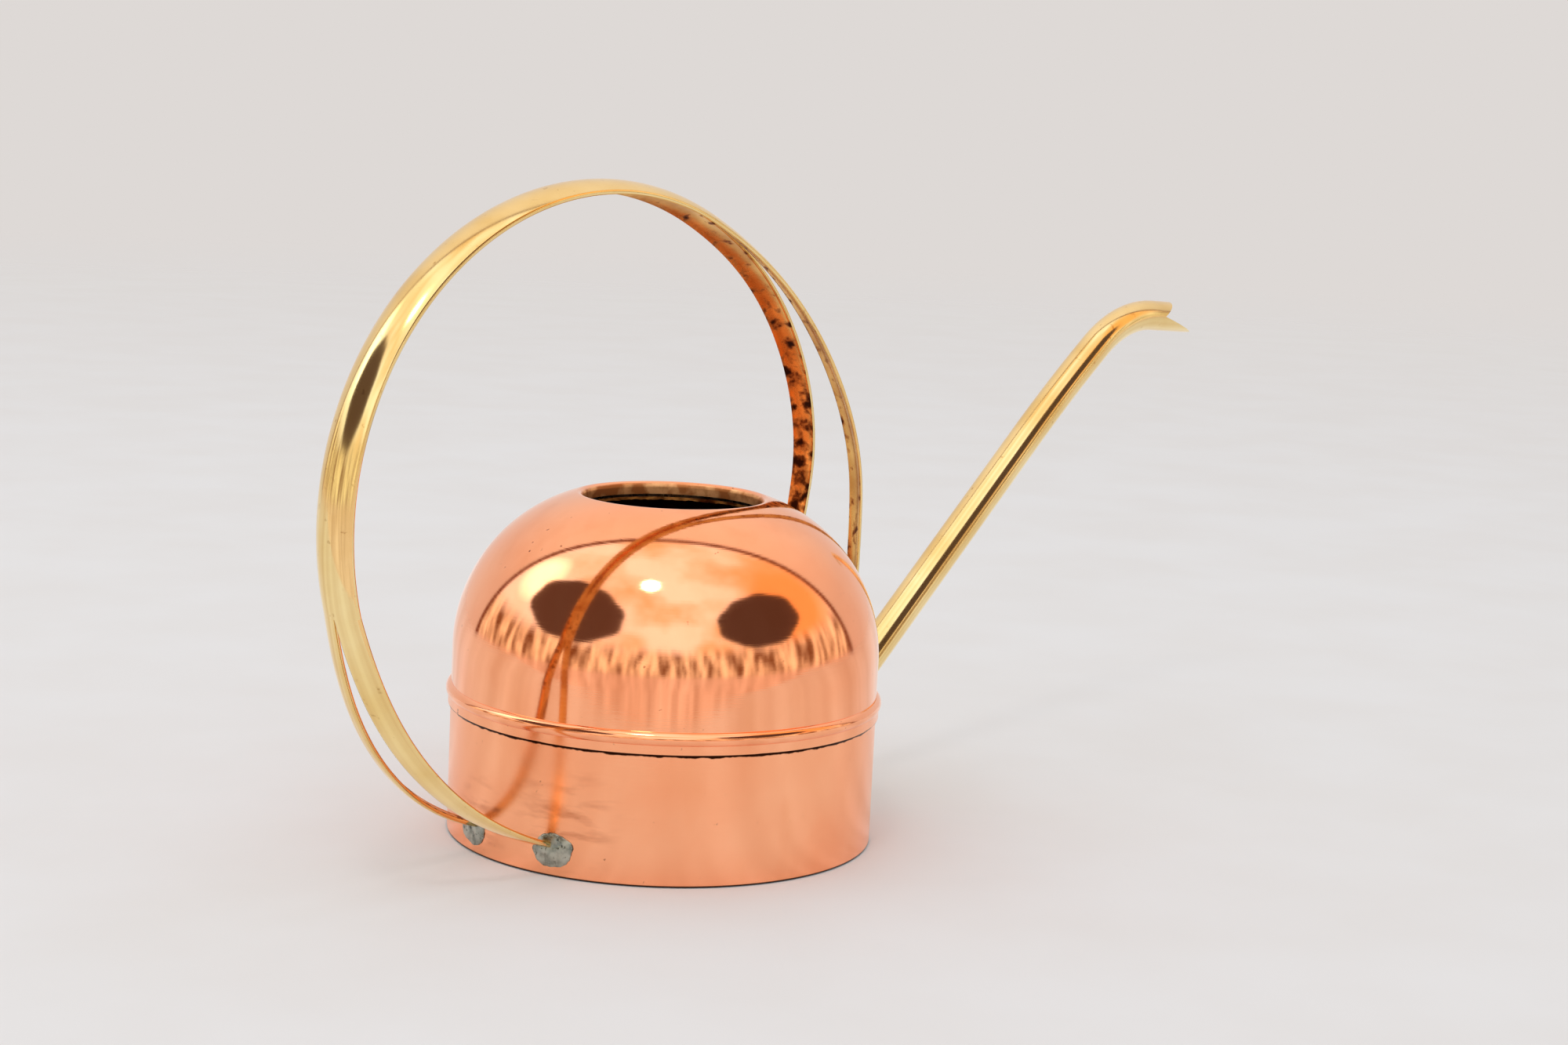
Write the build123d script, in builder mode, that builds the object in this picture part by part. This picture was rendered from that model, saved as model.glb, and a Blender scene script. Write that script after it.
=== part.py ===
# A small indoor watering can: a domed copper body, a split brass hoop handle and a bent brass
# spout, all joined with soft solder. Millimetres. The origin is the centre of the base on the
# surface it stands on, +X is the way the spout points and +Z is up.
import math
import os

from build123d import *

# ---- copper body -------------------------------------------------------------------------
sheet = 0.8                     # thickness of the copper sheet
body_radius = 75.0              # outside of the lower shell and of the dome's straight wall
solder_film = 0.1               # gap between two sheets that solder fills
shell_edge_height = 0.3         # lower edge of the lower shell, above the ground
lap_height = 45.0               # lower edge of the dome's skirt
lap_depth = 6.0                 # how far the lower shell reaches up inside the skirt
bead_foot = 3.2                 # start of the swaged bead above the lap
bead_crown = 5.2                # its crown above the lap
bead_top = 7.6                  # its end above the lap
bead_proud = 1.75               # how far the crown stands out from the straight wall
shoulder_height = 65.0          # where the straight wall turns into the dome
dome_arc_radius = 57.5          # radius of the dome's generating arc
mouth_radius = 31.35            # clear radius of the filler opening
lip_radius = 2.0                # outside radius of the rolled-in lip
lip_depth = 2.4                 # straight wall of the lip below its curl
nick_azimuth = 154.5            # small slit in the skirt's lower edge, degrees from +X
nick_width = 0.5
nick_height = 2.2
collar_height = 4.0             # ring soldered behind the lip
collar_overlap = 1.6            # how far it reaches up behind the lip
base_corner = 1.8               # outside radius of the base plate's pressed corner
base_flange = 3.0               # top of its flange inside the lower shell
fillet_leg = 0.75               # inside solder runs: how far they stand in from the wall
fillet_rise = 2.2               # and how tall they are

# ---- brass handle ------------------------------------------------------------------------
hoop_half_length = 116.4        # the hoop is a slightly flat ellipse, measured to its outside
hoop_half_height = 108.7
hoop_offset = 40.3              # hoop centre behind the body's axis
hoop_height = 121.0             # hoop centre above the ground
strap_width = 16.5
strap_thickness = 1.7
strap_crown_radius = 12.0       # round of the strap's domed outside, across its width
saw_kerf = 0.3                  # slot that splits the strap into two legs at each end
front_split = 64.0              # angle on the ellipse where the front slot starts, from +X to +Z
rear_split = 195.0              # angle where the rear slot starts
front_bends = ((41.0, 1.025), (25.5, 1.054), (1.0, 1.099), (-7.0, 1.101))
rear_bends = ((217.0, 1.026), (239.0, 1.053))
# each bend: an angle on the ellipse and how many times its size the leg stands out there
foot_height = 9.0               # where the legs meet the body
front_foot_heading = (-0.2, -1.0)          # way the legs run at the foot, in X and Z
rear_foot_heading = (1.0, -0.3)
front_splay = 16.5              # slot half width at the front feet
rear_splay = 16.1               # slot half width at the rear feet
rear_even_share = 0.75          # share of the rear splay that grows evenly along the leg
leg_tip_width = 3.0
leg_taper = 3                   # power of the legs' narrowing along their run
foot_bite = 2.0                 # legs run this far past the wall before they are trimmed to it

# ---- brass spout -------------------------------------------------------------------------
tube_radius = 6.35              # half-inch tube
tube_wall = 0.9
spout_root_height = 14.4        # where the spout's centre line meets the wall
spout_rise = 39.75              # slope of its straight length, degrees
spout_straight = 177.0
sway_radius = 775.0             # slight bow before the bend
sway_turn = 4.35
bend_radius = 63.0              # bend that brings the end level
bend_turn = 39.0
tip_length = 28.5               # straight end after the bend
notch_from_end = 26.0           # side notches, measured back from the lower lip's end
upper_lip_setback = 15.5        # how far the upper lip stays behind the lower one
lip_skin = 0.5                  # metal left at the lower lip's very end

# ---- solder ------------------------------------------------------------------------------
foot_pad_width = 17.0
foot_pad_height = 14.0
foot_pad_thickness = 2.6
rear_pad_azimuth = 15.0         # from the -X side, degrees
front_pad_azimuth = 14.5        # from the +X side, degrees
spout_pad_width = 20.0
spout_pad_height = 22.0
spout_pad_thickness = 3.0
pad_bevel = 2.6                 # how far a pad's face is drawn in from its foot
pad_root = 1.2                  # pads start this far under the wall's surface and are trimmed to it

os.makedirs("parts", exist_ok=True)

wall_inside = body_radius - sheet
skirt_inside = body_radius + solder_film
skirt_outside = skirt_inside + sheet
shell_top = lap_height + lap_depth
lip_centre_radius = mouth_radius + lip_radius
dome_axis = body_radius - dome_arc_radius
lip_reach = dome_arc_radius - lip_radius
lip_centre_height = shoulder_height + math.sqrt(lip_reach**2 - (lip_centre_radius - dome_axis)**2)
lip_edge_height = lip_centre_height - lip_depth


# ---- spout centre line -------------------------------------------------------------------
# Straight up from the wall, then a slight bow, then the bend that brings the end level.
with BuildLine(Plane.XZ) as spout_line:
    climb = PolarLine((body_radius, spout_root_height), spout_straight, spout_rise)
    sway = JernArc(climb @ 1, climb % 1, sway_radius, -sway_turn)
    bend = JernArc(sway @ 1, sway % 1, bend_radius, -bend_turn)
    Line(bend @ 1, bend @ 1 + (bend % 1) * tip_length)
    Line(climb @ 0 - (climb % 0) * 2 * tube_radius, climb @ 0)
spout_wire = spout_line.wire()
spout_start = climb @ 0 - (climb % 0) * 2 * tube_radius
root_plane = Plane(origin=spout_start, z_dir=climb % 0)
spout_end = bend @ 1 + (bend % 1) * tip_length


# ---- lower shell -------------------------------------------------------------------------
# A copper cylinder, open at both ends, with the hole that the spout is pushed through.
with BuildPart() as lower_shell:
    with BuildSketch(Plane.XY.offset(shell_edge_height)):
        Circle(body_radius)
        Circle(wall_inside, mode=Mode.SUBTRACT)
    extrude(amount=shell_top - shell_edge_height)
    with BuildSketch(root_plane):
        Circle(tube_radius + solder_film)
    extrude(amount=5 * tube_radius, mode=Mode.SUBTRACT)
lower_shell.part.label = "lower_shell"


# ---- base plate --------------------------------------------------------------------------
# A pressed copper dish: flat bottom, round corner, flange up inside the lower shell.
with BuildPart() as base_plate:
    flange_outside = wall_inside - solder_film
    with BuildSketch(Plane.XZ):
        with BuildLine():
            Line((0, 0), (flange_outside - base_corner, 0))
            RadiusArc(
                (flange_outside - base_corner, 0), (flange_outside, base_corner), -base_corner
            )
            Polyline(
                (flange_outside, base_corner),
                (flange_outside, base_flange),
                (flange_outside - sheet, base_flange),
                (flange_outside - sheet, base_corner),
            )
            RadiusArc(
                (flange_outside - sheet, base_corner),
                (flange_outside - base_corner, sheet),
                base_corner - sheet,
            )
            Polyline((flange_outside - base_corner, sheet), (0, sheet), (0, 0))
        make_face()
    revolve(axis=Axis.Z)
base_plate.part.label = "base_plate"


# ---- dome shell --------------------------------------------------------------------------
# One spun copper sheet: skirt over the lower shell, swaged bead, straight wall, dome, and a
# lip rolled in around the filler opening. The line is the outside face, made thick inwards.
with BuildPart() as dome_shell:
    lip_meet = lip_centre_radius - dome_axis
    tangent_scale = dome_arc_radius / lip_reach
    lip_start = (dome_axis + lip_meet * tangent_scale,
                 shoulder_height + (lip_centre_height - shoulder_height) * tangent_scale)
    half_turn = math.radians(45)
    dome_mid = (dome_axis + dome_arc_radius * math.cos(half_turn),
                shoulder_height + dome_arc_radius * math.sin(half_turn))
    lip_mid = (lip_centre_radius - lip_radius * math.cos(half_turn),
               lip_centre_height + lip_radius * math.sin(half_turn))
    with BuildSketch(Plane.XZ):
        with BuildLine():
            Line((skirt_outside, lap_height), (skirt_outside, lap_height + bead_foot))
            ThreePointArc(
                (skirt_outside, lap_height + bead_foot),
                (body_radius + bead_proud, lap_height + bead_crown),
                (body_radius, lap_height + bead_top),
            )
            Line((body_radius, lap_height + bead_top), (body_radius, shoulder_height))
            ThreePointArc((body_radius, shoulder_height), dome_mid, lip_start)
            ThreePointArc(lip_start, lip_mid, (mouth_radius, lip_centre_height))
            Line((mouth_radius, lip_centre_height), (mouth_radius, lip_edge_height))
            offset(amount=sheet, side=Side.LEFT)
        make_face()
    revolve(axis=Axis.Z)
    nick_angle = math.radians(nick_azimuth)
    nick_middle = Vector(math.cos(nick_angle), math.sin(nick_angle), 0) * skirt_outside
    nick_foot = Vector(0, 0, lap_height)
    with BuildSketch(Plane(origin=nick_middle + nick_foot, z_dir=nick_middle)):
        Rectangle(2 * nick_height, nick_width, rotation=90)
    extrude(amount=sheet, both=True, mode=Mode.SUBTRACT)
dome_shell.part.label = "dome_shell"


# ---- filler collar -----------------------------------------------------------------------
# A strip bent into a ring and soldered up behind the rolled lip.
with BuildPart() as filler_collar:
    collar_inside = mouth_radius + sheet + solder_film
    collar_base = lip_edge_height + collar_overlap - collar_height
    with BuildSketch(Plane.XY.offset(collar_base)):
        Circle(collar_inside + sheet)
        Circle(collar_inside, mode=Mode.SUBTRACT)
    extrude(amount=collar_height)
filler_collar.part.label = "filler_collar"


# ---- handle ------------------------------------------------------------------------------
# One brass strap, domed on the outside, bent into a hoop and sawn down the middle at both
# ends. The four legs spread and narrow towards the feet that are soldered to the body.
def on_hoop(angle, scale=1.0):
    """Point on the hoop's ellipse, or on the same ellipse made larger, in the XZ plane."""
    turn = math.radians(angle)
    return (scale * hoop_half_length * math.cos(turn) - hoop_offset,
            scale * hoop_half_height * math.sin(turn) + hoop_height)


def across(point, tangent):
    """Plane square to the hoop's run: local x points out of the hoop, local y is the row's Y."""
    return Plane(origin=point, x_dir=Vector(0, 1, 0).cross(tangent), z_dir=tangent)


def crown_drop(from_middle):
    """How far the domed outside falls away from its middle line."""
    return strap_crown_radius - math.sqrt(strap_crown_radius**2 - from_middle**2)


def strap_section(plane, first, last, shift):
    """Strip of the strap's crescent between two distances from its middle, moved sideways."""
    middle = (first + last) / 2
    outside = [(-crown_drop(q), q + shift) for q in (first, middle, last)]
    inside = [(x - strap_thickness, y) for x, y in outside]
    with BuildSketch(plane) as section:
        with BuildLine():
            ThreePointArc(*outside)
            Line(outside[2], inside[2])
            ThreePointArc(*inside)
            Line(inside[0], outside[0])
        make_face()
    return section.sketch


def front_spread(u):
    """Slot half width along the front legs: slow, then fast, then slow again."""
    return front_splay * (3 * u**2 - 2 * u**3)


def rear_spread(u):
    """Slot half width along the rear legs: even, and a little more towards the feet."""
    return rear_splay * (rear_even_share * u + (1 - rear_even_share) * u**3)


def leg_sections(path, direction, spread, side):
    """Sections from the slot's start to the foot. direction is -1 down the front, 1 down the rear."""
    sections = []
    for step in range(leg_steps + 1):
        u = step / leg_steps
        full_width = strap_width / 2 - saw_kerf / 2
        width = leg_tip_width + (full_width - leg_tip_width) * (1 - u**leg_taper)
        square = across(path @ u, (path % u) * direction)
        first = saw_kerf / 2
        last = first + width
        sections.append(strap_section(square, side * first, side * last, side * spread(u)))
    return sections


leg_steps = 12
front_wall = math.sqrt(body_radius**2 - front_splay**2)
rear_wall = math.sqrt(body_radius**2 - rear_splay**2)

with BuildLine(Plane.XZ) as hoop_line:
    hoop_arc = EllipticalCenterArc(
        (-hoop_offset, hoop_height),
        hoop_half_length,
        hoop_half_height,
        start_angle=front_split,
        arc_size=rear_split - front_split,
    )
with BuildLine(Plane.XZ) as front_line:
    Spline(
        on_hoop(front_split),
        *[on_hoop(angle, scale) for angle, scale in front_bends],
        (front_wall - foot_bite, foot_height),
        tangents=[(hoop_arc % 0) * -1, front_foot_heading],
    )
with BuildLine(Plane.XZ) as rear_line:
    Spline(
        on_hoop(rear_split),
        *[on_hoop(angle, scale) for angle, scale in rear_bends],
        (-rear_wall + foot_bite, foot_height),
        tangents=[hoop_arc % 1, rear_foot_heading],
    )

with BuildPart() as handle:
    half_strap = strap_width / 2
    hoop_section = strap_section(across(hoop_arc @ 0, hoop_arc % 0), -half_strap, half_strap, 0)
    sweep(sections=hoop_section, path=hoop_line.wire())
    for side in (-1, 1):
        loft(sections=leg_sections(front_line.wire(), -1, front_spread, side))
        loft(sections=leg_sections(rear_line.wire(), 1, rear_spread, side))
    Cylinder(body_radius + solder_film, 2 * shell_top, mode=Mode.SUBTRACT)
handle.part.label = "handle"


# ---- spout -------------------------------------------------------------------------------
# A brass tube. Its end is cut to a V at both sides, which leaves a short upper lip and a long
# scooped lower one; its root is trimmed flush with the inside of the lower shell.
with BuildPart() as spout:
    with BuildSketch(root_plane):
        Circle(tube_radius)
        Circle(tube_radius - tube_wall, mode=Mode.SUBTRACT)
    sweep(path=spout_wire)
    with BuildSketch(Plane(origin=spout_end, x_dir=bend % 1, z_dir=(0, -1, 0))):
        with BuildLine():
            Polyline(
                (-notch_from_end, 0),
                (-upper_lip_setback, tube_radius + lip_skin),
                (tube_radius, tube_radius + lip_skin),
                (tube_radius, -tube_radius + lip_skin),
                (0, -tube_radius + lip_skin),
                close=True,
            )
        make_face()
    extrude(amount=2 * tube_radius, both=True, mode=Mode.SUBTRACT)
    Cylinder(wall_inside, 2 * shell_top, mode=Mode.SUBTRACT)
spout.part.label = "spout"


# ---- solder runs inside the body ---------------------------------------------------------
def run_section(radius, foot, rise):
    """Three-cornered section against a wall, from its foot on the wall to its rise."""
    with BuildSketch(Plane.XZ) as section:
        with BuildLine():
            Polyline((radius, foot), (radius, foot + rise), (radius - fillet_leg, foot), close=True)
        make_face()
    return section.sketch


# around the top of the base plate's flange
with BuildPart() as base_solder:
    revolve(profiles=run_section(wall_inside - solder_film, base_flange, fillet_rise), axis=Axis.Z)
base_solder.part.label = "base_solder"

# over the step where the lower shell ends inside the dome
with BuildPart() as lap_solder:
    lap_foot = shell_top - fillet_rise / 4
    revolve(profiles=run_section(wall_inside - solder_film, lap_foot, fillet_rise), axis=Axis.Z)
lap_solder.part.label = "lap_solder"

# under the lip's edge, against the filler collar
with BuildPart() as collar_solder:
    collar_wall = collar_inside - solder_film / 2
    collar_foot = lip_edge_height - solder_film / 2
    revolve(profiles=run_section(collar_wall, collar_foot, -fillet_rise / 2), axis=Axis.Z)
collar_solder.part.label = "collar_solder"


# ---- solder pads on the outside ----------------------------------------------------------
def pad_plane(azimuth, height):
    """Plane just under the body's wall, looking straight out of it."""
    angle = math.radians(azimuth)
    out = Vector(math.cos(angle), math.sin(angle), 0)
    return Plane(
        origin=out * (body_radius - pad_root) + Vector(0, 0, height),
        x_dir=(-out.Y, out.X, 0),
        z_dir=out,
    )


# an oval run around the spout's root
with BuildPart() as spout_solder:
    spout_seat = pad_plane(0, spout_root_height)
    with BuildSketch(spout_seat):
        Ellipse(spout_pad_width / 2, spout_pad_height / 2)
    with BuildSketch(spout_seat.offset(pad_root + spout_pad_thickness)):
        Ellipse(spout_pad_width / 2 - pad_bevel, spout_pad_height / 2 - pad_bevel)
    loft()
    Cylinder(body_radius + solder_film / 2, 2 * shell_top, mode=Mode.SUBTRACT)
    with BuildSketch(root_plane):
        Circle(tube_radius)
    extrude(amount=5 * tube_radius, mode=Mode.SUBTRACT)
spout_solder.part.label = "spout_solder"

# an oval pad over the foot of each of the handle's legs
foot_pads = {
    "front_left_solder": (front_pad_azimuth, foot_height),
    "front_right_solder": (-front_pad_azimuth, foot_height),
    "rear_left_solder": (180 - rear_pad_azimuth, foot_height),
    "rear_right_solder": (180 + rear_pad_azimuth, foot_height),
}
pad_parts = []
for pad_name, (pad_azimuth, pad_height) in foot_pads.items():
    with BuildPart() as foot_solder:
        foot_seat = pad_plane(pad_azimuth, pad_height)
        with BuildSketch(foot_seat):
            Ellipse(foot_pad_width / 2, foot_pad_height / 2)
        with BuildSketch(foot_seat.offset(pad_root + foot_pad_thickness)):
            Ellipse(foot_pad_width / 2 - pad_bevel, foot_pad_height / 2 - pad_bevel)
        loft()
        Cylinder(body_radius + solder_film / 2, 2 * shell_top, mode=Mode.SUBTRACT)
        add(handle.part, mode=Mode.SUBTRACT)
    foot_solder.part.label = pad_name
    pad_parts.append(foot_solder.part)


# ---- files -------------------------------------------------------------------------------
export_step(lower_shell.part, "parts/lower_shell.step")
export_step(base_plate.part, "parts/base_plate.step")
export_step(dome_shell.part, "parts/dome_shell.step")
export_step(filler_collar.part, "parts/filler_collar.step")
export_step(handle.part, "parts/handle.step")
export_step(spout.part, "parts/spout.step")
export_step(base_solder.part, "parts/base_solder.step")
export_step(lap_solder.part, "parts/lap_solder.step")
export_step(collar_solder.part, "parts/collar_solder.step")
export_step(spout_solder.part, "parts/spout_solder.step")
for pad_part in pad_parts:
    export_step(pad_part, f"parts/{pad_part.label}.step")
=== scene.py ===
import math

import bpy
import numpy as np
from mathutils import Matrix, Vector, noise


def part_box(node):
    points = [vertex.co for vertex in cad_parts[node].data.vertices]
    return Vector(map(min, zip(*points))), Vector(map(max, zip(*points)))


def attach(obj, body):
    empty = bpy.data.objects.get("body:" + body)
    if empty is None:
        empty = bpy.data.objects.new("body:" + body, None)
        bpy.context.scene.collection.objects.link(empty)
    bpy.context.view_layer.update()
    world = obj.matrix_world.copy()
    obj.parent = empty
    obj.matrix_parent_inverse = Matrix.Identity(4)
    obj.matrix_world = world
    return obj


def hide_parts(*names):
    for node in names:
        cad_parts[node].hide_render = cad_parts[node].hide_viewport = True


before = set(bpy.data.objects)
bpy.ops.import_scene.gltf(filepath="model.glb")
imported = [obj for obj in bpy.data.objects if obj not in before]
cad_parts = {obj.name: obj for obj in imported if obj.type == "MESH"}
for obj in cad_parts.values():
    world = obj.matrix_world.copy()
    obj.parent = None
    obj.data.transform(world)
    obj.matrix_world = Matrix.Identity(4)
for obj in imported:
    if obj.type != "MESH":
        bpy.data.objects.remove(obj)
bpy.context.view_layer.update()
bpy.ops.object.select_all(action="DESELECT")


# ---- base plate --------------------------------------------------------------------------
# A pressed copper dish that closes the drum from below. It is cut from the same sheet as the
# rest of the body, polished with it, and soldered in from the inside.
def linear(code):
    """An sRGB hex colour as linear red, green, blue and alpha."""
    parts = [int(code[i:i + 2], 16) / 255 for i in (1, 3, 5)]
    return tuple(p / 12.92 if p <= 0.04045 else ((p + 0.055) / 1.055) ** 2.4 for p in parts) + (1.0,)


def add(tree, kind, settings=None, links=None):
    """Adds a node, gives it its settings by property or socket, and links its inputs."""
    node = tree.nodes.new(kind)
    for key, value in (settings or {}).items():
        if isinstance(key, str) and hasattr(node, key):
            setattr(node, key, value)
        else:
            node.inputs[key].default_value = value
    for key, source in (links or {}).items():
        tree.links.new(source, node.inputs[key])
    return node


def blank_metal(name, metallic=1.0):
    """A new material: its tree, its shader and its object coordinates."""
    material = bpy.data.materials.new(name)
    material.use_nodes = True
    tree = material.node_tree
    shader = tree.nodes["Principled BSDF"]
    shader.inputs["Metallic"].default_value = metallic
    place = add(tree, "ShaderNodeTexCoord").outputs["Object"]
    return material, tree, shader, place


def grain(tree, place, size_mm, detail=3.0, stretch=(1, 1, 1)):
    """Noise whose features are size_mm across, made finer along each axis by stretch."""
    scaled = add(tree, "ShaderNodeMapping", {"Scale": stretch}, {"Vector": place})
    return add(tree, "ShaderNodeTexNoise", {"Scale": 1000 / size_mm, "Detail": detail},
               {"Vector": scaled.outputs[0]}).outputs[0]


def ranged(tree, value, low, high, to_low=0.0, to_high=1.0):
    """value from low..high brought to to_low..to_high, held at both ends."""
    return add(tree, "ShaderNodeMapRange",
               {"From Min": low, "From Max": high, "To Min": to_low, "To Max": to_high},
               {"Value": value}).outputs[0]


def mixed(tree, factor, first, second):
    """first where factor is 0 and second where it is 1. Each is a colour or a socket."""
    node = add(tree, "ShaderNodeMix", {"data_type": "RGBA"})
    for index, value in ((0, factor), (6, first), (7, second)):
        if isinstance(value, (tuple, float)):
            node.inputs[index].default_value = value
        else:
            tree.links.new(value, node.inputs[index])
    return node.outputs[2]


def math_of(tree, operation, first, second):
    """One sum of two values or sockets."""
    node = add(tree, "ShaderNodeMath", {"operation": operation})
    for index, value in ((0, first), (1, second)):
        if isinstance(value, (int, float)):
            node.inputs[index].default_value = value
        else:
            tree.links.new(value, node.inputs[index])
    return node.outputs[0]


def near_point(tree, place, point_mm, radius_mm, soft_mm):
    """1 within radius_mm of a point on the object, falling to 0 over soft_mm."""
    away = add(tree, "ShaderNodeVectorMath",
               {"operation": "DISTANCE", 1: tuple(c / 1000 for c in point_mm)}, {0: place})
    return ranged(tree, away.outputs["Value"], radius_mm / 1000, (radius_mm + soft_mm) / 1000, 1, 0)


# Polished copper sheet: salmon pink, wiped round and round with fine metal polish, a little
# cloudier in places, with a few acid pits in the dome and flux stain beside the rear feet. Inside
# the filler mouth it is browned by the torch. Painted shade darkens the drum under the skirt's lap,
# where flux residue lies too, a small slit in the skirt's edge and the drum's foot.
copper, tree, shader, place = blank_metal("polished_copper")
cloud = grain(tree, place, 45, 4)
tone = mixed(tree, ranged(tree, cloud, 0.35, 0.68), linear("#FFB68C"), linear("#FBA87C"))
warm = grain(tree, place, 14, 5, (1, 1, 0.35))
tone = mixed(tree, ranged(tree, warm, 0.5, 0.75, 0, 0.35), tone, linear("#F09A68"))
pits = [(-58.5, 10.5, 104.0), (-56.0, -2.0, 107.0), (-51.0, -8.0, 109.6), (-55.6, 12.0, 106.4),
        (-47.5, 14.5, 111.2), (-64.5, 12.0, 93.0)]
pitted = None
for index, pit in enumerate(pits):
    dot = near_point(tree, place, pit, 0.25 + 0.12 * (index % 3), 0.35)
    pitted = dot if pitted is None else math_of(tree, "MAXIMUM", pitted, dot)
specks = ranged(tree, grain(tree, place, 2.2, 2), 0.74, 0.79, 0, 0.55)
tone = mixed(tree, math_of(tree, "MAXIMUM", pitted, specks), tone, linear("#6E3520"))
rear_foot_stains = [((-71, -22, 19), 20), ((-73, 14, 14), 14)]
stain_reach = math_of(tree, "MAXIMUM", *[near_point(tree, place, spot, 3, soft)
                                         for spot, soft in rear_foot_stains])
streaks = ranged(tree, grain(tree, place, 8, 8, (0.6, 0.6, 2.4)), 0.50, 0.72)
tone = mixed(tree, math_of(tree, "MULTIPLY", math_of(tree, "MULTIPLY", stain_reach, streaks), 0.6),
             tone, linear("#A8542C"))
height = add(tree, "ShaderNodeSeparateXYZ", links={0: place}).outputs[2]
# Painted shade: a ragged dark line on the drum just under the skirt's edge, partly flux residue.
ragged = math_of(tree, "MULTIPLY", math_of(tree, "SUBTRACT", grain(tree, place, 4, 4), 0.5), 0.0014)
ragged_height = math_of(tree, "ADD", height, ragged)
lap_shade_and_flux = math_of(tree, "MULTIPLY", ranged(tree, ragged_height, 0.0440, 0.0443),
                   ranged(tree, height, 0.04515, 0.04530, 1, 0))
# Painted shade: a dark band along the drum's foot where it stands on the floor.
foot_shade = ranged(tree, height, 0.0006, 0.0009, 1, 0)
# Painted shade: two dark dots near the skirt's edge stand for the shade in a small slit.
slit_ends = [(-68.5, 32.7, 45.7), (-68.5, 32.7, 46.6)]
slit_shade = math_of(tree, "MAXIMUM", *[near_point(tree, place, spot, 0.3, 0.15) for spot in slit_ends])
# The painted shades under the skirt, at the foot and in the slit, with the flux residue, go in as one
# dark colour.
shade_and_flux = math_of(tree, "MAXIMUM", math_of(tree, "MAXIMUM", lap_shade_and_flux, foot_shade), slit_shade)
tone = mixed(tree, shade_and_flux, tone, linear("#2A1208"))
flat_place = add(tree, "ShaderNodeVectorMath", {"operation": "MULTIPLY", 1: (1, 1, 0)}, {0: place})
from_axis = add(tree, "ShaderNodeVectorMath", {"operation": "LENGTH"}, {0: flat_place.outputs[0]})
in_mouth = ranged(tree, from_axis.outputs["Value"], 0.0316, 0.0322, 1, 0)
torch = mixed(tree, ranged(tree, grain(tree, place, 6, 5), 0.42, 0.6),
              linear("#B87848"), linear("#F0BC88"))
tone = mixed(tree, in_mouth, tone, torch)
tree.links.new(tone, shader.inputs["Base Color"])
wiped = grain(tree, place, 30, 6, (1, 1, 90))
rough = math_of(tree, "ADD", ranged(tree, cloud, 0.3, 0.7, 0.045, 0.08),
                ranged(tree, wiped, 0.35, 0.7, 0, 0.03))
rough = math_of(tree, "ADD", rough, ranged(tree, height, 0.045, 0.053, 0.15, 0))
rough = math_of(tree, "ADD", rough, math_of(tree, "MULTIPLY", in_mouth, 0.42))
tree.links.new(rough, shader.inputs["Roughness"])
scratch = math_of(tree, "ADD", wiped, math_of(tree, "MULTIPLY", pitted, -3.0))
bump = add(tree, "ShaderNodeBump", {"Strength": 0.10, "Distance": 0.00008}, {"Height": scratch})
tree.links.new(bump.outputs[0], shader.inputs["Normal"])
shader.inputs["Anisotropic"].default_value = 0.35
round_body = add(tree, "ShaderNodeTangent", {"direction_type": "RADIAL", "axis": "Z"})
tree.links.new(round_body.outputs[0], shader.inputs["Tangent"])

# The inside of the body has never been polished: water has turned it brown and nearly black.
dull_copper, tree, shader, place = blank_metal("water_stained_copper")
tide = grain(tree, place, 9, 5, (1, 1, 1.6))
tone = mixed(tree, ranged(tree, tide, 0.42, 0.62), linear("#1C0E08"), linear("#4A2816"))
tree.links.new(tone, shader.inputs["Base Color"])
tree.links.new(ranged(tree, tide, 0.3, 0.7, 0.42, 0.65), shader.inputs["Roughness"])


def finish_cad(node, *materials):
    """Gives a CAD node its real materials."""
    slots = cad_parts[node].data.materials
    slots.clear()
    for material in materials:
        slots.append(material)


finish_cad("base_plate", copper)


# ---- lower shell -------------------------------------------------------------------------
# One strip of 0.8 mm copper rolled to a drum, its edges trued on the lathe. The base is
# soldered in at its foot and its top edge stands up inside the dome's skirt.
mm = 0.001
sheet = 0.8 * mm
round_steps = 288
body_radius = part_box("lower_shell")[1].x


def turned(name, rings, thickness, *materials):
    """A ring of edges drawn out from one radius and height to the next, then made thick inwards."""
    radius, level = rings[0]
    bpy.ops.mesh.primitive_circle_add(vertices=round_steps, radius=radius, location=(0, 0, 0))
    piece = bpy.context.object
    piece.name = name
    bpy.ops.object.mode_set(mode="EDIT")
    bpy.ops.transform.translate(value=(0, 0, level))
    for next_radius, next_level in rings[1:]:
        bpy.ops.mesh.extrude_region_move(TRANSFORM_OT_translate={"value": (0, 0, next_level - level)})
        grow = next_radius / radius
        bpy.ops.transform.resize(value=(grow, grow, 1), center_override=(0, 0, 0))
        radius, level = next_radius, next_level
    bpy.ops.mesh.select_all(action="SELECT")
    bpy.ops.mesh.normals_make_consistent(inside=False)
    bpy.ops.object.mode_set(mode="OBJECT")
    for material in materials:
        piece.data.materials.append(material)
    if thickness:
        wall = piece.modifiers.new("wall", "SOLIDIFY")
        wall.thickness = thickness
        wall.offset = -1
        wall.material_offset = len(materials) - 1
        bpy.ops.object.modifier_apply(modifier="wall")
    bpy.ops.object.shade_smooth_by_angle(angle=math.radians(35))
    return piece


shell_low, shell_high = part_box("lower_shell")
edge_break = 0.2 * mm
drum = turned("rolled_drum",
              [(body_radius - edge_break, shell_low.z), (body_radius, shell_low.z + edge_break),
               (body_radius, 0.012), (body_radius, 0.030), (body_radius, shell_high.z)],
              sheet, copper, dull_copper)
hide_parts("lower_shell")
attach(drum, "root")


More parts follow.
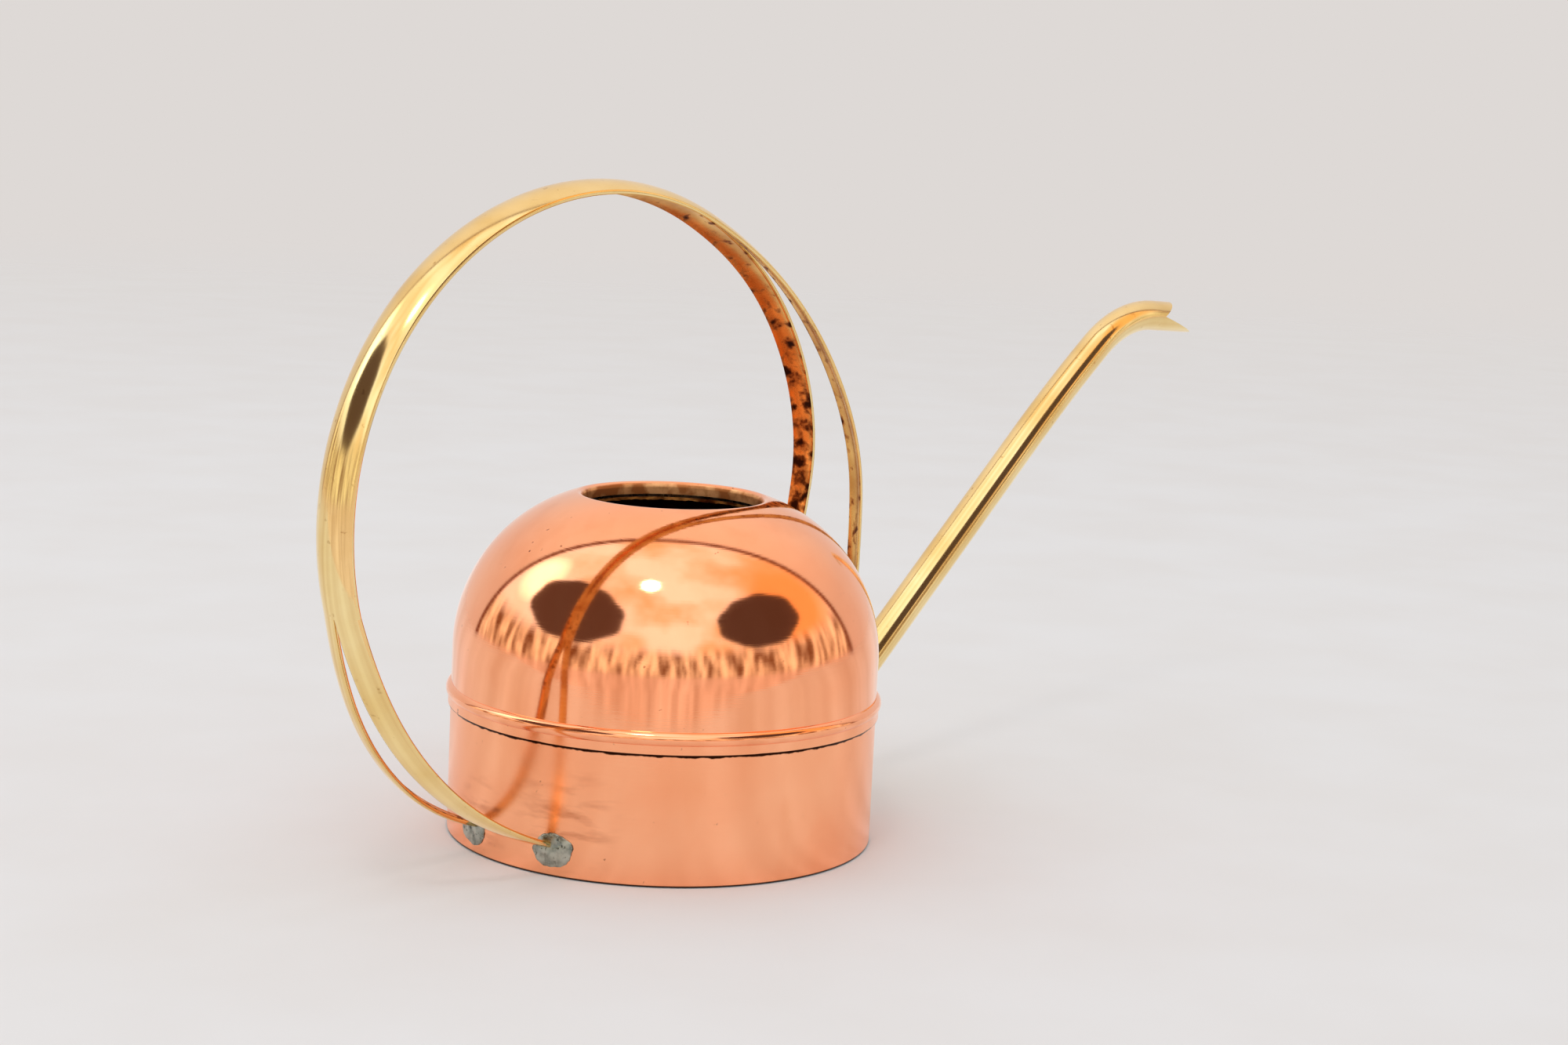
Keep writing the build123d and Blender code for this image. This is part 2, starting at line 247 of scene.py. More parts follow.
# ---- dome and filler lip -----------------------------------------------------------------
# The upper body is one spun copper shell: a skirt that slips over the drum, a swaged bead
# that stops it, a straight wall, the dome, and a lip rolled in round the filler opening.
def arc_through(start, middle, end, steps):
    """Points on the arc from start through middle to end, without its start."""
    (ax, ay), (bx, by), (cx, cy) = start, middle, end
    twice = 2 * (ax * (by - cy) + bx * (cy - ay) + cx * (ay - by))
    aa, bb, cc = ax**2 + ay**2, bx**2 + by**2, cx**2 + cy**2
    ux = (aa * (by - cy) + bb * (cy - ay) + cc * (ay - by)) / twice
    uy = (aa * (cx - bx) + bb * (ax - cx) + cc * (bx - ax)) / twice
    first = math.atan2(ay - uy, ax - ux)
    sweep = (math.atan2(cy - uy, cx - ux) - first) % (2 * math.pi)
    passed = (math.atan2(by - uy, bx - ux) - first) % (2 * math.pi)
    if passed > sweep:
        sweep -= 2 * math.pi
    reach = math.hypot(ax - ux, ay - uy)
    return [(ux + reach * math.cos(first + sweep * i / steps),
             uy + reach * math.sin(first + sweep * i / steps)) for i in range(1, steps + 1)]


skirt_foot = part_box("dome_shell")[0].z
skirt_step = 0.9 * mm
skirt_radius = body_radius + skirt_step
bead_crown = (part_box("dome_shell")[1].x, skirt_foot + 5.2 * mm)
shoulder = 65 * mm
dome_arc = 57.5 * mm
dome_axis = body_radius - dome_arc
lip_round = 2.0 * mm
lip_depth = 2.4 * mm
mouth_radius = 31.35 * mm
lip_axis = mouth_radius + lip_round
lip_level = shoulder + math.sqrt((dome_arc - lip_round) ** 2 - (lip_axis - dome_axis) ** 2)
meet = math.atan2(lip_level - shoulder, lip_axis - dome_axis)
lip_start = (dome_axis + dome_arc * math.cos(meet), shoulder + dome_arc * math.sin(meet))
half_way = math.radians(45)
dome_rings = [(skirt_radius, skirt_foot), (skirt_radius, skirt_foot + 1.5 * mm),
              (skirt_radius, skirt_foot + 3.2 * mm)]
dome_rings += arc_through(dome_rings[-1], bead_crown, (body_radius, skirt_foot + 7.6 * mm), 14)
dome_rings += [(body_radius, skirt_foot + 12 * mm), (body_radius, shoulder)]
dome_rings += arc_through(
    (body_radius, shoulder),
    (dome_axis + dome_arc * math.cos(half_way), shoulder + dome_arc * math.sin(half_way)),
    lip_start, 64)
dome_rings += arc_through(
    lip_start,
    (lip_axis - lip_round * math.cos(half_way), lip_level + lip_round * math.sin(half_way)),
    (mouth_radius, lip_level), 12)
dome_rings += [(mouth_radius, lip_level - lip_depth)]
dome = turned("spun_dome", dome_rings, sheet, copper, dull_copper)

# The skirt was trimmed with hand shears, so its edge wanders and lifts a hair here and there.
shear_wave = 0.28 * mm
for vertex in dome.data.vertices:
    if vertex.co.z < skirt_foot + 0.1 * mm:
        turn = math.atan2(vertex.co.y, vertex.co.x)
        waver = noise.noise(Vector((math.cos(turn) * 9, math.sin(turn) * 9, 4)))
        waver += 0.6 * noise.noise(Vector((math.cos(turn) * 31, math.sin(turn) * 31, 8)))
        vertex.co.z += shear_wave * (waver + 0.5)
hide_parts("dome_shell")
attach(dome, "root")


# ---- filler collar -----------------------------------------------------------------------
# A narrow copper band bent into a ring, butted, and soldered up behind the rolled lip. It
# has kept the golden brown of the torch on its face, and its lower edge is rough.
heated_copper, tree, shader, place = blank_metal("heat_coloured_copper")
around = grain(tree, place, 7, 5, (1, 1, 2.2))
tone = mixed(tree, ranged(tree, around, 0.38, 0.55), linear("#8A4A20"), linear("#E0A05A"))
flecks = ranged(tree, grain(tree, place, 2.5, 4), 0.58, 0.7, 0, 0.8)
tone = mixed(tree, flecks, tone, linear("#F0B878"))
tree.links.new(tone, shader.inputs["Base Color"])
tree.links.new(ranged(tree, around, 0.3, 0.7, 0.30, 0.5), shader.inputs["Roughness"])
bump = add(tree, "ShaderNodeBump", {"Strength": 0.5, "Distance": 0.0002},
           {"Height": grain(tree, place, 1.6, 4)})
tree.links.new(bump.outputs[0], shader.inputs["Normal"])

collar_low, collar_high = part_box("filler_collar")
collar_outside = collar_high.x
collar_inside = collar_outside - sheet
collar = turned("filler_band",
                [(collar_outside, collar_low.z), (collar_outside, collar_high.z),
                 (collar_inside, collar_high.z), (collar_inside, (collar_low.z + collar_high.z) / 2),
                 (collar_inside, collar_low.z), (collar_outside, collar_low.z)],
                0, heated_copper)
bpy.ops.object.mode_set(mode="EDIT")
bpy.ops.mesh.select_all(action="SELECT")
bpy.ops.mesh.remove_doubles(threshold=0.00001)
bpy.ops.mesh.normals_make_consistent(inside=False)
bpy.ops.object.mode_set(mode="OBJECT")
rough_edge = 0.35 * mm
for vertex in collar.data.vertices:
    if vertex.co.z < collar_low.z + 0.1 * mm:
        vertex.co.z += rough_edge * (noise.noise(vertex.co * 700) + 0.5)
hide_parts("filler_collar")
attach(collar, "root")


# ---- spout -------------------------------------------------------------------------------
# A length of half-inch brass tube with 0.9 mm walls, bowed a little, bent level at the top on
# a former, and snipped to a V at both sides so that the lower lip pours in a thin stream.
brass, tree, shader, place = blank_metal("polished_brass")
cloud = grain(tree, place, 26, 4)
tone = mixed(tree, ranged(tree, cloud, 0.35, 0.65), linear("#EFD79E"), linear("#E5C684"))
tarnish = ranged(tree, grain(tree, place, 3.0, 4), 0.66, 0.74, 0, 0.5)
tone = mixed(tree, tarnish, tone, linear("#9C6C28"))
# Painted shade: a dark spot near the tip stands for a small dent; the tube is not dented.
dent_shade = near_point(tree, place, (256.5, -4.6, 153.0), 0.5, 1.0)
tone = mixed(tree, dent_shade, tone, linear("#4A3014"))
tree.links.new(tone, shader.inputs["Base Color"])
tree.links.new(ranged(tree, cloud, 0.3, 0.7, 0.10, 0.17), shader.inputs["Roughness"])
bump = add(tree, "ShaderNodeBump", {"Strength": 0.12, "Distance": 0.0001},
           {"Height": grain(tree, place, 12, 5)})
tree.links.new(bump.outputs[0], shader.inputs["Normal"])

dull_brass, tree, shader, place = blank_metal("unpolished_brass")
tone = mixed(tree, ranged(tree, grain(tree, place, 6, 4), 0.4, 0.6),
             linear("#6B4A20"), linear("#94702F"))
tree.links.new(tone, shader.inputs["Base Color"])
shader.inputs["Roughness"].default_value = 0.4


def skin(name, rings, caps, *materials):
    """A mesh through closed rings of points, each ring joined to the next."""
    count = len(rings[0])
    points = [tuple(p) for ring in rings for p in ring]
    faces = []
    for row in range(len(rings) - 1):
        for step in range(count):
            a = row * count + step
            b = row * count + (step + 1) % count
            faces.append((a, b, b + count, a + count))
    if caps:
        last = (len(rings) - 1) * count
        faces.append(tuple(range(count - 1, -1, -1)))
        faces.append(tuple(range(last, last + count)))
    mesh = bpy.data.meshes.new(name)
    mesh.from_pydata(points, [], faces)
    mesh.update()
    piece = bpy.data.objects.new(name, mesh)
    bpy.context.scene.collection.objects.link(piece)
    for material in materials:
        mesh.materials.append(material)
    bpy.ops.object.select_all(action="DESELECT")
    piece.select_set(True)
    bpy.context.view_layer.objects.active = piece
    bpy.ops.object.mode_set(mode="EDIT")
    bpy.ops.mesh.select_all(action="SELECT")
    bpy.ops.mesh.normals_make_consistent(inside=False)
    bpy.ops.object.mode_set(mode="OBJECT")
    return piece


tube_radius = 6.35 * mm
tube_wall = 0.9 * mm
rise = math.radians(39.75)
root_height = 14.4 * mm
runs = [("straight", 177 * mm), ("bend", 775 * mm, math.radians(4.35), 12),
        ("bend", 63 * mm, math.radians(39), 40)]
tip_length = 28.5 * mm
spot_x, spot_z, heading = body_radius, root_height, rise
line = []
back = 1.6 * mm
for step in range(41):
    along = -back + (runs[0][1] + back) * step / 40
    line.append((spot_x + along * math.cos(rise), spot_z + along * math.sin(rise), heading))
spot_x, spot_z = line[-1][:2]
for kind, reach, turn, steps in runs[1:]:
    centre_x, centre_z = spot_x + reach * math.sin(heading), spot_z - reach * math.cos(heading)
    for step in range(1, steps + 1):
        now = heading - turn * step / steps
        line.append((centre_x - reach * math.sin(now), centre_z + reach * math.cos(now), now))
    spot_x, spot_z, heading = line[-1]

around_steps = 96
tip_steps = 24
notch_back, upper_back, lip_skin = 26 * mm, 15.5 * mm, 0.5 * mm


def cut_back(lift):
    """How far behind the tube's full end it is cut, at a height above its centre line."""
    if lift >= 0:
        return notch_back - (notch_back - upper_back) * lift / (tube_radius + lip_skin)
    return max(0.0, notch_back * (1 + lift / (tube_radius - lip_skin)))


def tube_rings(radius):
    """Rings of one tube surface from the wall to its cut end."""
    rings = []
    angles = [2 * math.pi * i / around_steps for i in range(around_steps)]
    for x, z, turn in line:
        rings.append([(x - radius * math.sin(a) * math.sin(turn), radius * math.cos(a),
                       z + radius * math.sin(a) * math.cos(turn)) for a in angles])
    for step in range(1, tip_steps + 1):
        ring = []
        for a in angles:
            lift = radius * math.sin(a)
            along = (tip_length - cut_back(lift)) * step / tip_steps
            ring.append((spot_x + along * math.cos(heading) - lift * math.sin(heading),
                         radius * math.cos(a),
                         spot_z + along * math.sin(heading) + lift * math.cos(heading)))
        rings.append(ring)
    return rings


outside, bore = tube_rings(tube_radius), tube_rings(tube_radius - tube_wall)
spout = skin("pouring_spout", outside + bore[::-1] + outside[:1], False, brass, dull_brass)
bpy.ops.object.mode_set(mode="EDIT")
bpy.ops.mesh.remove_doubles(threshold=0.000001)
bpy.ops.object.mode_set(mode="OBJECT")
for polygon in spout.data.polygons:
    ring_row = polygon.index // around_steps
    polygon.material_index = 1 if len(outside) < ring_row < len(outside) + len(bore) - tip_steps else 0
bpy.ops.object.shade_smooth_by_angle(angle=math.radians(40))
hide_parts("spout")
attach(spout, "root")


# ---- handle ------------------------------------------------------------------------------
# One dished brass strap, bent to a hoop and sawn down the middle at both ends. The halves
# are spread into four legs. Outside it is polished; inside, sweat and flux have stained it.
stained_brass, tree, shader, place = blank_metal("stained_brass")
blots = grain(tree, place, 4.5, 6)
split_place = add(tree, "ShaderNodeSeparateXYZ", links={0: place}).outputs
# The stain is made darker lower down and towards +X, and lighter on the near side towards -Y.
drift = math_of(tree, "ADD", blots, ranged(tree, split_place[2], 0.12, 0.21, 0.09, -0.06))
drift = math_of(tree, "ADD", drift, ranged(tree, split_place[0], -0.02, 0.02, -0.12, 0))
drift = math_of(tree, "ADD", drift, ranged(tree, split_place[1], -0.010, -0.003, -0.16, 0))
tone = mixed(tree, ranged(tree, grain(tree, place, 16, 4), 0.4, 0.62),
             linear("#DDAE66"), linear("#C08A48"))
tone = mixed(tree, ranged(tree, drift, 0.48, 0.60), tone, linear("#8C5228"))
tone = mixed(tree, ranged(tree, drift, 0.57, 0.68), tone, linear("#33190E"))
tree.links.new(tone, shader.inputs["Base Color"])
tree.links.new(ranged(tree, drift, 0.45, 0.62, 0.22, 0.5), shader.inputs["Roughness"])
bump = add(tree, "ShaderNodeBump", {"Strength": 0.4, "Distance": 0.0002}, {"Height": blots})
tree.links.new(bump.outputs[0], shader.inputs["Normal"])

hoop_x, hoop_z = -40.3, 121.0
half_length, half_height = 116.4, 108.7
strap_width, strap_thickness, crown = 16.5, 1.7, 12.0
kerf, corner = 0.3, 0.28
front_split, rear_split = 64.0, 195.0
face_points = 14


def on_hoop(angle, scale=1.0):
    """Point on the hoop's ellipse or on a larger copy of it, in X and Z, in millimetres."""
    turn = math.radians(angle)
    return np.array((hoop_x + scale * half_length * math.cos(turn),
                     hoop_z + scale * half_height * math.sin(turn)))


def hoop_way(angle):
    """The hoop's heading at an angle, the way round from front to rear."""
    turn = math.radians(angle)
    return np.array((-half_length * math.sin(turn), half_height * math.cos(turn)))


def smooth_line(points, first_way, last_way, steps):
    """Points and headings on the smooth curve through some points, with both end headings."""
    points = np.array(points)
    knots = np.concatenate(([0], np.cumsum(np.linalg.norm(np.diff(points, axis=0), axis=1))))
    count = len(points)
    system, right = np.zeros((count, count)), np.zeros((count, 2))
    system[0, 0] = system[-1, -1] = 1
    right[0] = np.array(first_way) / np.linalg.norm(first_way)
    right[-1] = np.array(last_way) / np.linalg.norm(last_way)
    gaps = np.diff(knots)
    for i in range(1, count - 1):
        before, after = gaps[i - 1], gaps[i]
        system[i, i - 1:i + 2] = after, 2 * (before + after), before
        right[i] = 3 * (after * (points[i] - points[i - 1]) / before
                        + before * (points[i + 1] - points[i]) / after)
    slopes = np.linalg.solve(system, right)
    run = []
    for step in range(steps + 1):
        at = knots[-1] * step / steps
        i = min(int(np.searchsorted(knots, at, side="right")) - 1, count - 2)
        gap = gaps[i]
        t = (at - knots[i]) / gap
        spot = ((2 * t**3 - 3 * t**2 + 1) * points[i] + (t**3 - 2 * t**2 + t) * gap * slopes[i]
                + (3 * t**2 - 2 * t**3) * points[i + 1] + (t**3 - t**2) * gap * slopes[i + 1])
        way = ((6 * t**2 - 6 * t) * (points[i] - points[i + 1]) / gap
               + (3 * t**2 - 4 * t + 1) * slopes[i] + (3 * t**2 - 2 * t) * slopes[i + 1])
        run.append((spot, way / np.linalg.norm(way)))
    return run


def strap_ring(spot, way, first, last, shift):
    """The strap's dished section between two distances from its middle, moved sideways."""
    out = np.array((way[1], -way[0]))
    low, high = min(first, last), max(first, last)
    across = np.linspace(low + corner, high - corner, face_points)
    drop = crown - np.sqrt(crown**2 - across**2)
    outer = [(-d, q) for d, q in zip(drop, across)]
    inner = [(-d - strap_thickness, q) for d, q in zip(drop, across)][::-1]
    edge_high, edge_low = outer[-1][0], outer[0][0]
    loop = outer + [(edge_high - corner, high), (edge_high - strap_thickness + corner, high)]
    loop += inner + [(edge_low - strap_thickness + corner, low), (edge_low - corner, low)]
    return [((spot[0] + out[0] * d) * mm, (q + shift) * mm, (spot[1] + out[1] * d) * mm)
            for d, q in loop]


hoop_steps, leg_steps = 150, 90
half_strap = strap_width / 2
hoop_rings = []
for step in range(hoop_steps + 1):
    angle = front_split + (rear_split - front_split) * step / hoop_steps
    way = hoop_way(angle) / np.linalg.norm(hoop_way(angle))
    hoop_rings.append(strap_ring(on_hoop(angle), way, -half_strap, half_strap, 0))
foot_height, foot_bite = 9.0, 2.0
front_splay, rear_splay = 16.5, 16.1
wall = body_radius / mm
front_foot = (math.sqrt(wall**2 - front_splay**2) - foot_bite, foot_height)
rear_foot = (foot_bite - math.sqrt(wall**2 - rear_splay**2), foot_height)
front_line = smooth_line(
    [on_hoop(front_split), on_hoop(41, 1.025), on_hoop(25.5, 1.054), on_hoop(1, 1.099),
     on_hoop(-7, 1.101), front_foot], -hoop_way(front_split), (-0.2, -1.0), leg_steps)
rear_line = smooth_line(
    [on_hoop(rear_split), on_hoop(217, 1.026), on_hoop(239, 1.053), rear_foot],
    hoop_way(rear_split), (1.0, -0.3), leg_steps)
leg_tip, leg_taper = 3.0, 3
pieces = [skin("strap_hoop", hoop_rings, False, brass, stained_brass)]
for side in (-1, 1):
    for run, toward, spread in (
        (front_line, -1, lambda u: front_splay * (3 * u**2 - 2 * u**3)),
        (rear_line, 1, lambda u: rear_splay * (0.75 * u + 0.25 * u**3)),
    ):
        rings = []
        for step, (spot, way) in enumerate(run):
            u = step / leg_steps
            full = half_strap - kerf / 2
            width = leg_tip + (full - leg_tip) * (1 - u**leg_taper)
            rings.append(strap_ring(spot, way * toward, side * kerf / 2, side * (kerf / 2 + width),
                                    side * spread(u)))
        pieces.append(skin("strap_leg", rings, True, brass, stained_brass))
bpy.ops.object.select_all(action="DESELECT")
for piece in pieces:
    piece.select_set(True)
handle = pieces[0]
bpy.context.view_layer.objects.active = handle
bpy.ops.object.join()
handle.name = "split_strap_handle"
foot_clear = body_radius + 0.05 * mm
foot_zone = 50 * mm
for vertex in handle.data.vertices:
    reach = math.hypot(vertex.co.x, vertex.co.y)
    if reach < foot_clear and vertex.co.z < foot_zone:
        vertex.co.x *= foot_clear / reach
        vertex.co.y *= foot_clear / reach
hoop_centre = Vector((hoop_x * mm, 0, hoop_z * mm))
facing_inward = 0.55
for polygon in handle.data.polygons:
    inward = hoop_centre - polygon.center
    inward.y = 0
    polygon.material_index = 1 if polygon.normal.dot(inward.normalized()) > facing_inward else 0
bpy.ops.object.shade_smooth_by_angle(angle=math.radians(50))
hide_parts("handle")
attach(handle, "root")


# ---- solder ------------------------------------------------------------------------------
# Tin-lead solder, dull grey with a green cast where flux was left on it. Runs inside the
# seams, and a lump built up with the iron over each foot and round the spout's root.
solder, tree, shader, place = blank_metal("tin_lead_solder")
lumps = grain(tree, place, 3.2, 5)
tone = mixed(tree, ranged(tree, lumps, 0.35, 0.65), linear("#7C827B"), linear("#B2B6AE"))
flux = ranged(tree, grain(tree, place, 2, 4), 0.58, 0.68, 0, 0.85)
tone = mixed(tree, flux, tone, linear("#3A3A30"))
tree.links.new(tone, shader.inputs["Base Color"])
tree.links.new(ranged(tree, lumps, 0.3, 0.7, 0.22, 0.42), shader.inputs["Roughness"])
bump = add(tree, "ShaderNodeBump", {"Strength": 0.6, "Distance": 0.0004}, {"Height": lumps})
tree.links.new(bump.outputs[0], shader.inputs["Normal"])
for run in ("base_solder", "lap_solder", "collar_solder"):
    finish_cad(run, solder)


def solder_lump(name, node, seed):
    """An uneven lump over a foot, pressed against the body's wall, in a CAD pad's box."""
    low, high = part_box(node)
    centre = (low + high) / 2
    turn = math.atan2(centre.y, centre.x)
    wide = (high.y - low.y) / 2 / max(abs(math.cos(turn)), 0.3)
    tall = (high.z - low.z) / 2
    bpy.ops.mesh.primitive_ico_sphere_add(subdivisions=6, radius=1, location=(0, 0, 0))
    lump = bpy.context.object
    lump.name = name
    proud, thinnest = 1.0 * mm, 0.03 * mm
    out = Vector((math.cos(turn), math.sin(turn), 0))
    side = Vector((-out.y, out.x, 0))
    for vertex in lump.data.vertices:
        q = vertex.co.copy()
        wobble = 0.96 + 0.16 * noise.noise(q * 1.3 + Vector((seed, 0, 0)))
        wobble += 0.07 * noise.noise(q * 4.5 + Vector((0, seed, 0)))
        deep = q.x ** 0.6 if q.x > 0 else q.x * 0.3
        deep *= 0.9 + 0.35 * noise.noise(Vector((q.y * 2.2, q.z * 2.2, seed)))
        spot_out = body_radius + deep * proud
        spot = out * spot_out + side * (q.y * wide * wobble)
        spot.z += centre.z + q.z * tall * wobble
        reach = math.hypot(spot.x, spot.y)
        wanted = body_radius + max(deep * proud, thinnest)
        vertex.co = Vector((spot.x * wanted / reach, spot.y * wanted / reach, spot.z))
    lump.data.materials.append(solder)
    bpy.ops.object.shade_smooth()
    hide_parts(node)
    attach(lump, "root")


for seed, node in enumerate(("rear_right_solder", "rear_left_solder", "front_left_solder",
                             "front_right_solder", "spout_solder")):
    solder_lump(node.replace("_solder", "_lump"), node, seed * 5.0 + 1.5)


# ---- floor, light and camera -------------------------------------------------------------
# A pale paper floor that fades into the background, and the lens that looks down on the can from
# beside its handle. Reflections and bounced light see the floor painted brighter, with faint painted
# bands round the can, and the floor ends early in reflections.
toward_lens = (-0.765, -0.644, 0)
right_hand = (0.644, -0.765, 0)
table_edge = 0.30
paper = bpy.data.materials.new("pale_paper")
paper.use_nodes = True
tree = paper.node_tree
shader = tree.nodes["Principled BSDF"]
place = add(tree, "ShaderNodeTexCoord").outputs["Object"]
fibre = grain(tree, place, 90, 3)
shown = mixed(tree, ranged(tree, fibre, 0.35, 0.65), linear("#EAE8E8"), linear("#E8E5E4"))
from_lens = add(tree, "ShaderNodeLightPath").outputs["Is Camera Ray"]
before = add(tree, "ShaderNodeVectorMath", {"operation": "DOT_PRODUCT", 1: toward_lens}, {0: place})
beside = add(tree, "ShaderNodeVectorMath", {"operation": "DOT_PRODUCT", 1: right_hand}, {0: place})
fan = math_of(tree, "ARCTAN2", beside.outputs["Value"], before.outputs["Value"])
fan_place = add(tree, "ShaderNodeCombineXYZ", links={0: fan}).outputs[0]
# Painted reflection: faint bands by bearing round the can, seen only in reflections and bounced light.
painted_bands = add(tree, "ShaderNodeTexNoise", {"Scale": 3.4, "Detail": 4}, {"Vector": fan_place}).outputs[0]
# Painted light: reflections and bounced light see a brighter floor than the lens does.
painted_bright_paper = mixed(tree, ranged(tree, painted_bands, 0.36, 0.60), linear("#EDE2D9"), linear("#FFFFFF"))
tone = mixed(tree, from_lens, painted_bright_paper, shown)
tree.links.new(tone, shader.inputs["Base Color"])
shader.inputs["Roughness"].default_value = 0.9
shader.inputs["Specular IOR Level"].default_value = 0.1
away = add(tree, "ShaderNodeVectorMath", {"operation": "LENGTH"}, {0: place}).outputs["Value"]
clear = add(tree, "ShaderNodeBsdfTransparent")
mirrored = add(tree, "ShaderNodeLightPath").outputs["Is Glossy Ray"]
past_table = math_of(tree, "MULTIPLY", mirrored,
                     ranged(tree, before.outputs["Value"], table_edge, table_edge + 0.003))
gone = math_of(tree, "MAXIMUM", past_table, ranged(tree, away, 1.0, 3.5))
blend = add(tree, "ShaderNodeMixShader", links={0: gone, 1: shader.outputs[0], 2: clear.outputs[0]})
tree.links.new(blend.outputs[0], tree.nodes["Material Output"].inputs["Surface"])
bpy.ops.mesh.primitive_circle_add(vertices=96, radius=4, fill_type="NGON", location=(0, 0, 0))
floor = bpy.context.object
floor.name = "paper_floor"
floor.data.materials.append(paper)

# The world is plain for the lens and for soft light. Reflections see a painted room instead, with
# two dark parasols, warm streaks and the edge of a backdrop.
world = bpy.data.worlds.new("soft_room")
bpy.context.scene.world = world
world.use_nodes = True
tree = world.node_tree
tree.nodes.clear()
way = add(tree, "ShaderNodeTexCoord").outputs["Generated"]
fore = add(tree, "ShaderNodeVectorMath", {"operation": "DOT_PRODUCT", 1: toward_lens}, {0: way})
aside = add(tree, "ShaderNodeVectorMath", {"operation": "DOT_PRODUCT", 1: right_hand}, {0: way})
up = add(tree, "ShaderNodeSeparateXYZ", links={0: way}).outputs[2]
bearing = math_of(tree, "ARCTAN2", aside.outputs["Value"], fore.outputs["Value"])
climb = math_of(tree, "ARCSINE", up, 0)


def patch(bearing_deg, climb_deg, half_wide, half_tall, soft, ribs=0):
    """1 inside an oval of the room, at a bearing and a height in degrees, falling to 0 at its edge.
    With ribs, the edge is drawn in between them as on a parasol."""
    across = math_of(tree, "DIVIDE", math_of(tree, "SUBTRACT", bearing, math.radians(bearing_deg)),
                     math.radians(half_wide))
    upward = math_of(tree, "DIVIDE", math_of(tree, "SUBTRACT", climb, math.radians(climb_deg)),
                     math.radians(half_tall))
    square = math_of(tree, "ADD", math_of(tree, "MULTIPLY", across, across),
                     math_of(tree, "MULTIPLY", upward, upward))
    if ribs:
        turn = math_of(tree, "MULTIPLY", math_of(tree, "ARCTAN2", upward, across), ribs)
        drawn_in = math_of(tree, "MULTIPLY", math_of(tree, "COSINE", turn, 0), 0.05)
        square = math_of(tree, "ADD", square, drawn_in)
    return ranged(tree, square, 1 - soft, 1 + soft, 1, 0)


rods = add(tree, "ShaderNodeCombineXYZ", links={0: math_of(tree, "MULTIPLY", bearing, 9.0),
                                               1: math_of(tree, "MULTIPLY", climb, 1.6)}).outputs[0]
stripes = add(tree, "ShaderNodeTexNoise", {"Scale": 1.6, "Detail": 4}, {"Vector": rods}).outputs[0]
haze = add(tree, "ShaderNodeTexNoise", {"Scale": 2.2, "Detail": 3}, {"Vector": way}).outputs[0]
room = mixed(tree, ranged(tree, haze, 0.40, 0.60), linear("#E8CDA8"), linear("#FFFFFF"))
room = mixed(tree, patch(86, 34, 30, 26, 0.6), room, linear("#F0B878"))
room = mixed(tree, patch(-88, 30, 26, 22, 0.5), room, linear("#FFFFFF"))
shelf = mixed(tree, ranged(tree, stripes, 0.40, 0.60), linear("#6E4420"), linear("#FFF6DC"))
room = mixed(tree, ranged(tree, climb, math.radians(20), math.radians(12)), room, shelf)
ground = mixed(tree, ranged(tree, stripes, 0.35, 0.65), linear("#BCA698"), linear("#E2D2C8"))
room = mixed(tree, ranged(tree, climb, math.radians(1), math.radians(-2)), room, ground)
# Painted highlight: a window brighter than white, for glints on the brass.
room = mixed(tree, patch(-96, 38, 13, 12, 0.6), room, (1.9, 1.85, 1.7, 1))
room = mixed(tree, patch(-57, 33, 33, 18, 0.06, 8), room, linear("#54423A"))
room = mixed(tree, patch(61, 32, 28, 16, 0.06, 8), room, linear("#4E3D36"))
edge = math_of(tree, "ADD", math_of(tree, "MULTIPLY", fore.outputs["Value"], -1.0),
               math_of(tree, "SUBTRACT", math_of(tree, "MULTIPLY", up, 0.32), 0.52))
room = mixed(tree, ranged(tree, edge, -0.06, -0.035), room, linear("#6A3A22"))
backdrop = mixed(tree, ranged(tree, up, 0.3, 0.9), linear("#C6BDB8"), linear("#E2D6CC"))
room = mixed(tree, ranged(tree, edge, -0.01, 0.01), room, backdrop)
rays = add(tree, "ShaderNodeLightPath")
pale = add(tree, "ShaderNodeBackground", {"Color": linear("#DED9D6"), "Strength": 1.0})
